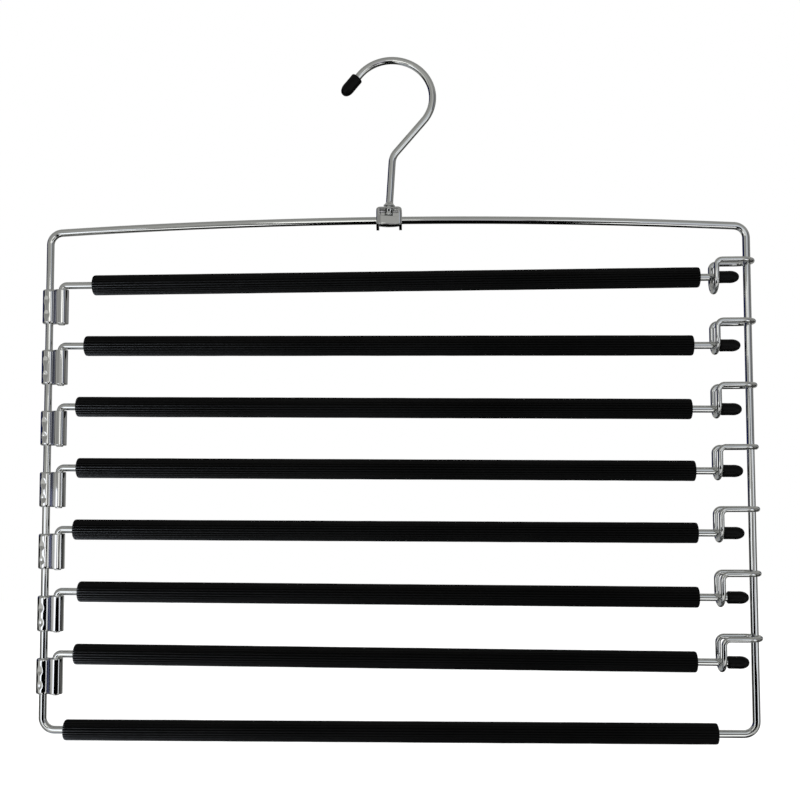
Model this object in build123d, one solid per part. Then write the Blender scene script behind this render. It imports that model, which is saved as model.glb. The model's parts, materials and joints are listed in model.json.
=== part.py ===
from build123d import *
from math import asin, atan2, ceil, cos, degrees, hypot, pi, radians, sin, sqrt, tan
import os

# An eight-tier trouser hanger of bent wire. A closed wire frame hangs from a swivel hook.
# Seven arms swing on sheet-metal clips at its left upright, and their free ends drop into
# wire catches at its right upright. The eighth tier is the frame's own bottom bar.
# Millimetres. +X is to the right and +Z is up as the hanger hangs, and -Y is its front.
# The origin is the point where the hook rests on a wardrobe rail.
# Round shapes are drawn with flat sides and mitred bends, to keep the part light. What turns
# is truly round: the stems of the arms and the hook, and the bores that they turn in.

# Fits between pieces
FIT = 0.05              # radial clearance of a sleeve, clip or cap that grips its wire
RUNNING_FIT = 0.08      # radial clearance of an arm's stem in its clip
SEAT_GAP = 0.3          # clearance between pieces that move on each other
OVERRUN = 1.0           # how far a cutting tool runs past what it cuts

# How finely round shapes are drawn
WIRE_SIDES = 12
CATCH_SIDES = 8
BARREL_SIDES = 20
BEND_STEP_DEG = 24.0    # most that a wire turns in one mitre
RAIL_STEP_DEG = 0.5     # most that the arched rail turns in one mitre

# The frame, one closed loop of wire
FRAME_WIRE = 4.0
FRAME_WIDTH = 372.0     # between the centre lines of the uprights
FRAME_HEIGHT = 269.3    # between the centre lines of the rail's crown and the bottom bar
RAIL_RISE = 5.2         # how far the rail's crown stands above its ends
FRAME_CORNER = 6.5      # centre line radius of the four corners
HOOK_SHIFT = 2.7        # how far left of the frame's middle the hook is carried

# The tiers
SWING_ARMS = 7
FIRST_TIER = 33.6       # from the rail's crown down to the first arm's bar
LAST_TIER = 39.5        # from the last arm's bar down to the bottom bar
TIER_PITCH = (FRAME_HEIGHT - FIRST_TIER - LAST_TIER) / (SWING_ARMS - 1)

# The swing arms
ARM_WIRE = 3.8
ARM_BEND = 2.5          # centre line radius between stem and bar
HINGE_OFFSET = 6.7      # from the upright's axis to the axis that an arm swings on
TIP_CLEARANCE = 4.1     # from the tip of the shortest arm's cap to the right upright's axis
STEM_PROUD = 0.6        # how far the stem shows below its clip
STEM_SHOULDER = 1.0     # how far inside its clip the stem's round part begins
TOP_ARM_LIFT = 1.4      # how far the first arm's tip stands above its hinge end
ARM_SPREAD = 1.5        # how much longer the longest arm's wire is than the shortest
arm_shares = (0.0, 0.0, 0.0, 0.0, 0.0, 1.0, 0.7)

# The ribbed sleeves
SLEEVE_DIAMETER = 10.9
SLEEVE_RIBS = 24
RIB_DEPTH = 0.45
ARM_SLEEVE_INSET = 15.5  # from the left upright's axis to the nearest end of an arm's sleeve
ARM_SLEEVE_SHORT = 44.0  # by how much the longest arm's sleeve is shorter than the frame is wide
ARM_SLEEVE = FRAME_WIDTH - ARM_SLEEVE_SHORT
SLEEVE_CUT = 5.0         # how much shorter the shortest arm's sleeve is than the longest
cut_shares = (1.0, 1.0, 0.5, 0.4, 0.0, 0.6, 0.6)
SLEEVE_SLIP = 8.5        # how far along its wire the loosest sleeve has slipped
slip_shares = (1.0, 0.54, 0.07, 0.16, 0.0, 0.35, 0.16)
BOTTOM_SLEEVE_INSET = 12.0  # from the left upright's axis to the bottom sleeve's end
BOTTOM_SLEEVE_SHORT = 32.0  # by how much the bottom sleeve is shorter than the frame is wide
BOTTOM_SLEEVE = FRAME_WIDTH - BOTTOM_SLEEVE_SHORT

# The slip-on caps
CAP_WALL = 1.35
CAP_OFF_LEG = 1.9       # from the legs of a catch to the open end of the shortest arm's cap
CAP_EDGE = 0.8          # rounding of a cap's open end
CAP_END_WALL = 1.5      # rubber between the wire's end and the cap's tip
CAP_NOSE = 4.2          # length over which a cap narrows to its tip
NOSE_STEP_DEG = 25.0    # steps in which a cap's nose is rounded
NOSE_END_DEG = 75.0     # where the nose goes over into its flat tip

# The hinge clips, each folded from one strip of sheet
CLIP_SHEET = 1.6
CLIP_HEIGHT = 18.6
CLIP_WAIST = 3.8        # thickness of the pinched strip between the two barrels
CLIP_SEAM = 0.25        # gap where the folded strip closes
CLIP_SEAM_DEG = -38.0   # where on the stem's barrel the strip closes
CLIP_MOUTH = 0.4        # bevel of the stem's bore at the top
CRIMP_RADIUS = 2.6
CRIMP_DEPTH = 0.6
CRIMP_FACING_DEG = -115.0  # the way the crimps face, measured from +X
crimp_height_shares = (0.61, 0.28)

# The catches, each a closed ring of wire
CATCH_WIRE = 2.8
CATCH_SPREAD = 14.4     # between the centre lines of its front and back wires
CATCH_REACH = 17.3      # from the right upright's axis to the legs
CATCH_CORNER = 3.0
CATCH_RISE = 10.3       # from an arm's bar at its hinge up to the highest catch's level wires
WELD_SPREAD = 1.0       # how much lower the lowest catch is welded on than the highest
weld_shares = (0.65, 0.0, 0.85, 0.45, 0.0, 0.5, 1.0)
CATCH_DROP = 16.0       # from the level wires down to the bottom of the U
WELD_SINK = 0.8         # how far the ring is melted into the upright

# The hook
HOOK_WIRE = 3.9
HOOK_BOWL = 40.0        # inner width, for a wardrobe rail
BOWL_SHORT = 1.5        # how much less the bowl's oval reaches up and down than to its sides
STEM_HEIGHT = 28.2      # from the bracket's web up to the stem's bend
BEND_TO_BOWL = 32.2     # from the stem's bend up to the centre of the bowl
BOWL_HEIGHT = STEM_HEIGHT + BEND_TO_BOWL
BOWL_SET_OVER = 2.45    # how far the bowl's centre lies to the left of the stem
STEM_BEND = 9.0
HOOK_LEAN_DEG = 3.8     # how far the stem leans in its loose hole
BOWL_END_DEG = 145.5    # where the bowl's oval ends, measured from +X
BOWL_STEP_DEG = 10.0    # most that the bowl turns in one mitre
HOOK_TIP = 14.2         # straight run after the oval, which carries the cap
HOOK_CAP = 12.5         # length of the cap
COLLAR_DIAMETER = 6.2
COLLAR_HEIGHT = 2.0
COLLAR_RIM = 0.5
HEAD_DIAMETER = 4.7
HEAD_HEIGHT = 3.1
HEAD_RIM = 0.7

# The saddle bracket
BRACKET_SHEET = 1.0
BRACKET_WIDTH = 13.6
BRACKET_DEPTH = 8.2
BRACKET_CORNER = 2.0
WEB_ABOVE_RAIL = 6.6    # from the rail's centre line up to the middle of the web
BAND_BELOW_RAIL = 2.5   # from the rail's centre line down to the band's lower edge
WINDOW_SIDE = 1.8       # sheet left beside the window at each side
WINDOW_HEIGHT = 4.0
STEM_HOLE_CLEARANCE = 0.2
TONGUE_DROP = 5.3       # from the rail's centre line down to the tip of a side plate
TONGUE_WIDTH = 3.2
TONGUE_ROUND = 0.9      # height over which a tongue's tip is rounded
TONGUE_TIP = 1.8

# Places worked out from the sizes above
LEAN = radians(HOOK_LEAN_DEG)
BOWL_HALF = (HOOK_BOWL + HOOK_WIRE) / 2
BOWL_RISE = BOWL_HALF - BOWL_SHORT
PIVOT_X = BOWL_SET_OVER * cos(LEAN) - BOWL_HEIGHT * sin(LEAN)
PIVOT_Z = HOOK_WIRE / 2 - BOWL_RISE - BOWL_HEIGHT * cos(LEAN) - BOWL_SET_OVER * sin(LEAN)
RAIL_Z = PIVOT_Z - WEB_ABOVE_RAIL
MIDDLE_X = PIVOT_X + HOOK_SHIFT
LEFT_X = MIDDLE_X - FRAME_WIDTH / 2
RIGHT_X = MIDDLE_X + FRAME_WIDTH / 2
BOTTOM_Z = RAIL_Z - FRAME_HEIGHT
HINGE_X = LEFT_X + HINGE_OFFSET
LEG_X = RIGHT_X - CATCH_REACH
ARM_CAP = CATCH_REACH - CAP_OFF_LEG - TIP_CLEARANCE
TIERS = range(SWING_ARMS)
HANGING = (Align.CENTER, Align.CENTER, Align.MAX)
RIGHT, BACK, UP = Vector(1, 0, 0), Vector(0, 1, 0), Vector(0, 0, 1)
SQUARE = 90.0           # degrees of a right angle


def tier_z(tier):
    """Height of an arm's bar at its hinge."""
    return RAIL_Z - FIRST_TIER - tier * TIER_PITCH


def catch_z(tier):
    """Height of the level wires of an arm's catch."""
    return tier_z(tier) + CATCH_RISE - WELD_SPREAD * weld_shares[tier]


def droop(tier):
    """Degrees by which an arm's bar falls from its hinge to its catch."""
    seat = catch_z(tier) - CATCH_DROP + (CATCH_WIRE + ARM_WIRE) / 2 + SEAT_GAP
    fall = -TOP_ARM_LIFT if tier == 0 else tier_z(tier) - seat
    return degrees(asin(fall / (LEG_X - HINGE_X)))


def bar_length(tier):
    """Length of an arm's bar from its hinge to the end of its wire, inside the cap."""
    shortest = RIGHT_X - TIP_CLEARANCE - CAP_END_WALL - HINGE_X
    return shortest + ARM_SPREAD * arm_shares[tier]


def bar_place(tier, along):
    """A place on an arm's bar, with +X along the bar."""
    hinge = Location((HINGE_X, 0, tier_z(tier)))
    return hinge * Rotation(0, droop(tier), 0) * Location((along, 0, 0))


def turn(centre, across, upward, radius, start, end, step=BEND_STEP_DEG):
    """Points along an arc, from start to end degrees, in the plane of two directions."""
    count = ceil(abs(end - start) / step)
    angles = [radians(start + (end - start) * index / count) for index in range(count + 1)]
    return [centre + across * (radius * cos(a)) + upward * (radius * sin(a)) for a in angles]


def rod(points, diameter, sides=WIRE_SIDES):
    """Wire along a run of points, with a mitre at each of them."""
    path = Wire.make_polygon(points, close=False)
    across = RIGHT if abs((path % 0).X) < abs((path % 0).Z) else BACK
    start = Plane(origin=points[0], x_dir=across, z_dir=path % 0)
    section = start * RegularPolygon(diameter / 2, sides)
    return sweep(section, path=path, transition=Transition.RIGHT)


def tapered(stations, sides=WIRE_SIDES):
    """Solid along +X through flat-sided rings, each given as its place and its radius."""
    def ring(x, radius):
        angles = [2 * pi * index / sides for index in range(sides)]
        return [(x, radius * cos(angle), radius * sin(angle)) for angle in angles]

    rings = [ring(x, radius) for x, radius in stations]
    faces = [Face(Wire.make_polygon(ring)) for ring in (rings[0], rings[-1])]
    for near, far in zip(rings, rings[1:]):
        for index in range(sides):
            corners = (near[index - 1], near[index], far[index], far[index - 1])
            faces.append(Face(Wire.make_polygon(corners)))
    return Solid(Shell(faces))


def frame_wire():
    """Arched rail, uprights and bottom bar, bent as one closed loop."""
    half = FRAME_WIDTH / 2
    arch = (half * half + RAIL_RISE * RAIL_RISE) / (2 * RAIL_RISE)
    inner = half - FRAME_CORNER
    reach = arch - FRAME_CORNER
    shoulder = degrees(asin(inner / reach))
    corner_z = sqrt(reach * reach - inner * inner) - arch
    foot_z = FRAME_CORNER - FRAME_HEIGHT
    middle_z = -FRAME_HEIGHT / 2

    def corner(side, z, start, end):
        centre = RIGHT * (side * inner) + UP * z
        return turn(centre, UP, RIGHT * side, FRAME_CORNER, start, end)

    left, right = (RIGHT * (side * half) + UP * middle_z for side in (-1, 1))
    rail = turn(UP * -arch, UP, RIGHT, arch, -shoulder, shoulder, RAIL_STEP_DEG)
    rise = corner(-1, corner_z, SQUARE, shoulder)
    fall = corner(1, corner_z, shoulder, SQUARE)
    over = rod([left] + rise + rail[1:-1] + fall + [right], FRAME_WIRE)
    low_left = corner(-1, foot_z, SQUARE, 2 * SQUARE)
    low_right = corner(1, foot_z, 2 * SQUARE, SQUARE)
    under = rod([left] + low_left + low_right + [right], FRAME_WIRE)
    return Pos(MIDDLE_X, 0, RAIL_Z) * (over + under)


def arm_wire(tier):
    """Vertical stem and drooping bar, bent from one wire."""
    inside = radians(SQUARE - droop(tier))
    setback = ARM_BEND / tan(inside / 2)
    centre = RIGHT * ARM_BEND - UP * setback
    bend = turn(centre, RIGHT, UP, ARM_BEND, 2 * SQUARE, SQUARE - droop(tier))
    fall = radians(droop(tier))
    end = RIGHT * (bar_length(tier) * cos(fall)) - UP * (bar_length(tier) * sin(fall))
    shoulder = ARM_WIRE / 2 + SEAT_GAP + STEM_SHOULDER
    bar = rod([UP * -shoulder] + bend + [end], ARM_WIRE)
    stem = Cylinder(ARM_WIRE / 2, CLIP_HEIGHT - STEM_SHOULDER + STEM_PROUD, align=HANGING)
    return Pos(HINGE_X, 0, tier_z(tier)) * (bar + Pos(0, 0, -shoulder) * stem)


def ribbed_sleeve(length, wire):
    """Sleeve along +X from the origin, with ribs along its length and a bore for its wire."""
    steps = 2 * SLEEVE_RIBS
    radii = [SLEEVE_DIAMETER / 2 - RIB_DEPTH * (step % 2) for step in range(steps)]
    outline = [
        (radius * cos(2 * pi * step / steps), radius * sin(2 * pi * step / steps))
        for step, radius in enumerate(radii)
    ]
    section = Polygon(*outline, align=None) - RegularPolygon(wire / 2 + FIT, WIRE_SIDES)
    return extrude(Plane.YZ * section, length)


def slip_cap(length, wire):
    """Cap along +X from the origin, open at the origin and rounded at its tip."""
    outer = wire / 2 + CAP_WALL
    bore = wire / 2 + FIT
    shoulder = length - CAP_NOSE * sin(radians(NOSE_END_DEG))
    steps = round(NOSE_END_DEG / NOSE_STEP_DEG)
    nose = [radians(NOSE_STEP_DEG * step) for step in range(steps + 1)]
    stations = [(0, outer - CAP_EDGE), (CAP_EDGE, outer)]
    stations += [(shoulder + CAP_NOSE * sin(angle), outer * cos(angle)) for angle in nose]
    return tapered(stations) - tapered([(-OVERRUN, bore), (length - CAP_END_WALL + FIT, bore)])


def hinge_clip():
    """Strip folded round the upright, at the origin, and round the stem of an arm."""
    upright_bore = FRAME_WIRE / 2 + FIT
    stem_bore = ARM_WIRE / 2 + RUNNING_FIT
    outer = upright_bore + CLIP_SHEET
    stem = Pos(HINGE_OFFSET, 0)
    outline = RegularPolygon(outer, BARREL_SIDES)
    outline += stem * RegularPolygon(stem_bore + CLIP_SHEET, BARREL_SIDES)
    outline += Pos(HINGE_OFFSET / 2, 0) * Rectangle(HINGE_OFFSET, CLIP_WAIST)
    outline -= RegularPolygon(upright_bore, BARREL_SIDES, major_radius=False)
    outline -= stem * Circle(stem_bore)
    outline -= Pos(HINGE_OFFSET / 2, 0) * Rectangle(HINGE_OFFSET, CLIP_SEAM)
    seam = Rectangle(HINGE_OFFSET, CLIP_SEAM, align=(Align.MIN, Align.CENTER))
    outline -= stem * Rot(0, 0, CLIP_SEAM_DEG) * seam
    body = extrude(outline, CLIP_HEIGHT)
    mouth = [(-CLIP_MOUTH, stem_bore), (CLIP_MOUTH, stem_bore + 2 * CLIP_MOUTH)]
    mouth = Rot(0, -SQUARE, 0) * tapered(mouth, BARREL_SIDES)
    body -= stem * Pos(0, 0, CLIP_HEIGHT) * mouth
    for share in crimp_height_shares:
        groove = extrude(Plane.XZ * RegularPolygon(CRIMP_RADIUS, CATCH_SIDES), outer, both=True)
        groove = Pos(outer + CRIMP_RADIUS - CRIMP_DEPTH, 0, share * CLIP_HEIGHT) * groove
        body -= Rot(0, 0, CRIMP_FACING_DEG) * groove
    return body


def catch_ring():
    """Closed ring of wire round the upright, at the origin, bent down into a U at its far end."""
    half = CATCH_SPREAD / 2
    reach = FRAME_WIRE / 2 + CATCH_WIRE / 2 - WELD_SINK
    nose = reach - half
    leg = -CATCH_REACH
    joint = (nose + leg) / 2
    front, back = (RIGHT * joint + BACK * y for y in (-half, half))
    loop = turn(RIGHT * nose, RIGHT, BACK, half, -SQUARE, SQUARE)
    welded = rod([front] + loop + [back], CATCH_WIRE, CATCH_SIDES)

    def corner(y, start, end):
        centre = RIGHT * (leg + CATCH_CORNER) + BACK * y - UP * CATCH_CORNER
        return turn(centre, UP, -RIGHT, CATCH_CORNER, start, end)

    cup = turn(RIGHT * leg - UP * (CATCH_DROP - half), BACK, UP, half, -2 * SQUARE, 0)
    bent = rod(
        [front] + corner(-half, 0, SQUARE) + cup + corner(half, SQUARE, 0) + [back],
        CATCH_WIRE,
        CATCH_SIDES,
    )
    upright = extrude(RegularPolygon(FRAME_WIRE / 2, WIRE_SIDES), CATCH_SPREAD / 2, both=True)
    return welded + bent - upright


def hook_place():
    """The hook's own frame, with its stem along +Z through the bracket's web."""
    return Location((PIVOT_X, 0, PIVOT_Z)) * Rotation(0, HOOK_LEAN_DEG, 0)


def bowl(start, end):
    """Points along the bowl's oval in the hook's own frame, from start to end degrees."""
    centre = UP * BOWL_HEIGHT - RIGHT * BOWL_SET_OVER
    across = RIGHT * (BOWL_HALF / BOWL_RISE)
    return turn(centre, across, UP, BOWL_RISE, start, end, BOWL_STEP_DEG)


def hook_tip():
    """The way that the hook's straight tip points in the hook's own frame."""
    angle = radians(BOWL_END_DEG)
    return (UP * (BOWL_RISE * cos(angle)) - RIGHT * (BOWL_HALF * sin(angle))).normalized()


def flange(start, stations):
    """Swelling on the hook's stem, from its near end up or down."""
    return Pos(0, 0, start) * Rot(0, -SQUARE, 0) * tapered(stations)


def hook_wire():
    """Stem, bowl and tip of one wire, with a collar above the web and a head below it."""
    wire = HOOK_WIRE / 2
    stretch = BOWL_HALF / BOWL_RISE
    over = BOWL_SET_OVER / stretch
    start = asin(BOWL_RISE / hypot(BEND_TO_BOWL, over)) - atan2(over, BEND_TO_BOWL)
    veer = degrees(atan2(stretch * sin(start), cos(start)))
    setback = STEM_BEND * tan(radians(veer) / 2)
    bend_centre = RIGHT * STEM_BEND + UP * (STEM_HEIGHT - setback)
    bend = turn(bend_centre, RIGHT, UP, STEM_BEND, 2 * SQUARE, 2 * SQUARE - veer, BOWL_STEP_DEG)
    oval = bowl(-degrees(start), BOWL_END_DEG)
    tip = oval[-1] + hook_tip() * (HOOK_TIP - CAP_END_WALL)
    lean = sin(LEAN)
    head_top = -BRACKET_SHEET / 2 - SEAT_GAP
    foot = head_top - HEAD_HEIGHT
    collar_foot = BRACKET_SHEET / 2 + SEAT_GAP + lean * COLLAR_DIAMETER / 2
    collar = [(0, COLLAR_DIAMETER / 2), (COLLAR_RIM, COLLAR_DIAMETER / 2), (COLLAR_HEIGHT, wire)]
    head = [(0, HEAD_DIAMETER / 2), (HEAD_RIM, HEAD_DIAMETER / 2), (HEAD_HEIGHT, wire)]
    body = rod([UP * collar_foot] + bend + oval + [tip], HOOK_WIRE)
    body += Pos(0, 0, collar_foot) * Cylinder(wire, collar_foot - head_top, align=HANGING)
    return hook_place() * (body + flange(collar_foot, collar) + flange(foot, head))


def hook_cap():
    along = hook_tip()
    start = bowl(0, BOWL_END_DEG)[-1] + along * (HOOK_TIP - HOOK_CAP)
    tilt = Rot(0, degrees(atan2(-along.Z, along.X)), 0)
    return hook_place() * Location(start) * tilt * slip_cap(HOOK_CAP, HOOK_WIRE)


def slab(width, height, radius, corners):
    """Flat-sided rectangle about the origin, with some of its four corners rounded in steps."""
    outline = []
    for index, (right, up) in enumerate(((1, 1), (-1, 1), (-1, -1), (1, -1))):
        bend = radius if index in corners else 0
        centre = RIGHT * (right * (width / 2 - bend)) + BACK * (up * (height / 2 - bend))
        start = index * SQUARE
        outline += turn(centre, RIGHT, BACK, bend, start, start + SQUARE) if bend else [centre]
    return make_face(Polyline(*outline, close=True))


def saddle_bracket():
    """Folded box over the rail, with a window in front and a tongue under each side."""
    top = WEB_ABOVE_RAIL + BRACKET_SHEET / 2
    height = top + TONGUE_DROP
    ceiling = top - BRACKET_SHEET
    inside_width = BRACKET_WIDTH - 2 * BRACKET_SHEET
    inside_depth = BRACKET_DEPTH - 2 * BRACKET_SHEET
    plan = extrude(slab(BRACKET_WIDTH, BRACKET_DEPTH, BRACKET_CORNER, (0, 1, 2, 3)), height)
    face = Plane.XZ * slab(BRACKET_WIDTH, height, BRACKET_CORNER, (0, 1))
    body = Pos(0, 0, -TONGUE_DROP) * plan
    body &= Pos(0, 0, top - height / 2) * extrude(face, BRACKET_DEPTH, both=True)
    taper = (BRACKET_DEPTH - TONGUE_WIDTH) / 2
    side = Polygon(
        (BRACKET_DEPTH / 2, top),
        (BRACKET_DEPTH / 2, -BAND_BELOW_RAIL),
        (BRACKET_DEPTH / 2 - taper, TONGUE_ROUND - TONGUE_DROP),
        (TONGUE_TIP / 2, -TONGUE_DROP),
        (-TONGUE_TIP / 2, -TONGUE_DROP),
        (taper - BRACKET_DEPTH / 2, TONGUE_ROUND - TONGUE_DROP),
        (-BRACKET_DEPTH / 2, -BAND_BELOW_RAIL),
        (-BRACKET_DEPTH / 2, top),
        align=None,
    )
    body &= extrude(Plane.YZ * side, BRACKET_WIDTH, both=True)
    body -= Pos(0, 0, ceiling) * Box(inside_width, inside_depth, height, align=HANGING)
    body -= Pos(0, 0, -BAND_BELOW_RAIL) * Box(inside_width, 2 * BRACKET_DEPTH, height, align=HANGING)
    window = Box(BRACKET_WIDTH - 2 * WINDOW_SIDE, BRACKET_DEPTH, WINDOW_HEIGHT, align=HANGING)
    body -= Pos(0, -BRACKET_DEPTH / 2, ceiling) * window
    rail_hole = RegularPolygon(FRAME_WIRE / 2 + FIT, WIRE_SIDES)
    body -= extrude(Plane.YZ * rail_hole, BRACKET_WIDTH, both=True)
    stem_hole = Cylinder(HOOK_WIRE / 2 + STEM_HOLE_CLEARANCE, BRACKET_SHEET + OVERRUN)
    body -= Pos(0, 0, WEB_ABOVE_RAIL) * stem_hole
    return Pos(PIVOT_X, 0, RAIL_Z) * body


def export(name, shape):
    """Write one piece to its own file."""
    shape.label = name
    export_step(shape, f"parts/{name}.step")
    print(name, round(shape.volume, 1), len(shape.solids()), shape.is_valid)


def main():
    os.makedirs("parts", exist_ok=True)
    export("hook_wire", hook_wire())
    export("hook_cap", hook_cap())
    export("saddle_bracket", saddle_bracket())
    export("frame_wire", frame_wire())
    bottom_bar = Pos(LEFT_X + BOTTOM_SLEEVE_INSET, 0, BOTTOM_Z)
    export("bottom_sleeve", bottom_bar * ribbed_sleeve(BOTTOM_SLEEVE, FRAME_WIRE))
    clip, ring, cap = hinge_clip(), catch_ring(), slip_cap(ARM_CAP, ARM_WIRE)
    clip_foot = -ARM_WIRE / 2 - SEAT_GAP - CLIP_HEIGHT
    for tier in TIERS:
        number = tier + 1
        slip = ARM_SLEEVE_INSET - HINGE_OFFSET + SLEEVE_SLIP * slip_shares[tier]
        sleeve = ribbed_sleeve(ARM_SLEEVE - SLEEVE_CUT * cut_shares[tier], ARM_WIRE)
        cap_start = bar_length(tier) + CAP_END_WALL - ARM_CAP
        export(f"hinge_clip_{number}", Pos(LEFT_X, 0, tier_z(tier) + clip_foot) * clip)
        export(f"catch_ring_{number}", Pos(RIGHT_X, 0, catch_z(tier)) * ring)
        export(f"arm_wire_{number}", arm_wire(tier))
        export(f"arm_sleeve_{number}", bar_place(tier, slip) * sleeve)
        export(f"arm_cap_{number}", bar_place(tier, cap_start) * cap)


main()
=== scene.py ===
import json
from math import asin, atan2, ceil, cos, degrees, hypot, pi, radians, sin, sqrt, tan

import bpy
from mathutils import Matrix, Vector, noise

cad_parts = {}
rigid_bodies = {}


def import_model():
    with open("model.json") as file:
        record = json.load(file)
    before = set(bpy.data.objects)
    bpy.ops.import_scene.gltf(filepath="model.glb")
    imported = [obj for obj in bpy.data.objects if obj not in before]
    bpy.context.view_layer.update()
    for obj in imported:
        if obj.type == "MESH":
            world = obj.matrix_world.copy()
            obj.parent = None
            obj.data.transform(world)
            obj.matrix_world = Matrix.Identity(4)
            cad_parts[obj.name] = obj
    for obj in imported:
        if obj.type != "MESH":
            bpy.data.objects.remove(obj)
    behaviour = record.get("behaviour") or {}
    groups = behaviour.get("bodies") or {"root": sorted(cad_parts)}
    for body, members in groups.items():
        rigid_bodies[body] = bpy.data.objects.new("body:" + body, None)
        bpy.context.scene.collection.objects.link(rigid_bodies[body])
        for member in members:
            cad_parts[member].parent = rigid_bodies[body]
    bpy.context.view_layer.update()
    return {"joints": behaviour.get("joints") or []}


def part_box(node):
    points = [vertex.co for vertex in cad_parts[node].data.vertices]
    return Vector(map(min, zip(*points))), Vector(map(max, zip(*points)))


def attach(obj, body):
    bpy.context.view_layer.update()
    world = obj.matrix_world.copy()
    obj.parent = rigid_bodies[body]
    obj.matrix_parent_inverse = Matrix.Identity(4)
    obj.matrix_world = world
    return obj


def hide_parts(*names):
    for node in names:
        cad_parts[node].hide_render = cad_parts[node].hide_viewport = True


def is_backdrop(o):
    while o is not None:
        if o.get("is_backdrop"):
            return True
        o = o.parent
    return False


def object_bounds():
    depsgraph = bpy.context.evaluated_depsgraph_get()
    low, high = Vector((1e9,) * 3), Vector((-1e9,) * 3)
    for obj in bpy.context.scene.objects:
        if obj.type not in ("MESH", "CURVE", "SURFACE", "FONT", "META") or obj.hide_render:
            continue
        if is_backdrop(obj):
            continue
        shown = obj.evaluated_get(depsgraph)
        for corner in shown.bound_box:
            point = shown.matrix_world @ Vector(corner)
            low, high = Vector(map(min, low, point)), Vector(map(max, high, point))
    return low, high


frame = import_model()

# Sizes in millimetres, as in the CAD model. Meshes are scaled to metres when they are made.
MM = 0.001
X, Y, Z = Vector((1, 0, 0)), Vector((0, 1, 0)), Vector((0, 0, 1))

# Diameters of the wires
FRAME_WIRE = 4.0
ARM_WIRE = 3.8
HOOK_WIRE = 3.9
CATCH_WIRE = 2.8

# The frame's loop, along the middle of its wire
FRAME_WIDTH = 372.0
FRAME_HEIGHT = 269.3
RAIL_RISE = 5.2  # of the arched rail, from its ends to its middle
FRAME_CORNER = 6.5
HOOK_SHIFT = 2.7  # the loop's middle lies this far right of the hook
WEB_ABOVE_RAIL = 6.6  # the middle of the bracket's web, in which the hook turns

# The arms. Shares say how much of a spread each of the seven has.
TIERS = range(7)
ARM_BEND = 2.5
HINGE_OFFSET = 6.7  # from the upright to the stem
SEAT_GAP = 0.3  # between pieces that move against each other
STEM_PROUD = 0.6  # how far a stem reaches out below its clip
TOP_ARM_LIFT = 1.4  # the first arm rises to its catch, the others fall
TIP_CLEARANCE = 4.1  # from the shortest arm's cap to the middle of the right upright
ARM_SPREAD, ARM_SHARES = 1.5, (0.0, 0.0, 0.0, 0.0, 0.0, 1.0, 0.7)

# The sleeves and caps
SLEEVE_RADIUS = 5.45
RIBS, RIB_DEPTH = 24, 0.55
FIT = 0.05  # round the wire, in their bores
ARM_CAP, HOOK_CAP = 11.3, 12.5
CAP_END_WALL, CAP_WALL = 1.5, 1.35

# The catches
CATCH_SPREAD = 14.4
CATCH_REACH = 17.3
CATCH_CORNER = 3.0
CATCH_RISE = 10.3  # from the hinge's level up to the catch's level wires
CATCH_DROP = 16.0  # from there down to the bottom of the U
WELD_SINK = 0.8  # how far a catch is melted into the upright
WELD_SPREAD, WELD_SHARES = 1.0, (0.65, 0.0, 0.85, 0.45, 0.0, 0.5, 1.0)

# The clips
CLIP_HEIGHT = 18.6
UPRIGHT_BORE, STEM_BORE = 2.05, 1.98  # radii
CLIP_SHEET = 1.6
CLIP_SLIT = 0.125  # half the gap between the two leaves of the waist
CLIP_SEAM_DEG, CLIP_SEAM_HALF_DEG = -38.0, 2.4
WAIST_RADIUS = 0.22
# Each crimp: its direction round the upright in degrees, its height as a share of the clip's, radius, depth
CRIMPS = ((-104.0, 0.67, 1.8, 0.42), (-100.0, 0.26, 1.7, 0.4))
CRIMP_LIMIT = 0.95  # deepest dent, with the rounding of the rim
CREASE_X, CREASE_REACH = 3.75, 0.85  # where painted shade darkens the waist's crease

# The hook. Its bowl is an oval, a little wider than high, and set over from the stem to the left.
HOOK_BOWL, BOWL_SHORT = 40.0, 1.5
STEM_HEIGHT, STEM_BEND = 28.2, 9.0
BEND_TO_BOWL, BOWL_SET_OVER = 32.2, 2.45
HOOK_LEAN_DEG, BOWL_END_DEG, HOOK_TIP = 3.8, 145.5, 14.2
BOWL_HALF = (HOOK_BOWL + HOOK_WIRE) / 2
BOWL_RISE = BOWL_HALF - BOWL_SHORT

# The bracket, with its levels above the middle of the rail
BRACKET_SHEET = 1.0
BRACKET_X, BRACKET_Y = 5.3, 2.6  # half the length of its flats
BRACKET_CORNER, BRACKET_INNER_CORNER = 1.5, 0.5
BRACKET_TOP, BRACKET_FILLET = 7.1, 1.7
WINDOW_TOP, WINDOW_SILL, SILL_SLOPE = 5.9, 1.85, 0.09
WEB_HOLE, WEB_HOLE_RIM = 2.15, 0.15
BAND_BULGE, BULGE_SLOPE = 0.2, 0.045  # of the band below the window, more at its left
TONGUE_START, TONGUE_PINCH = -2.3, 0.45
BRACKET_RIM = 0.16

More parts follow.
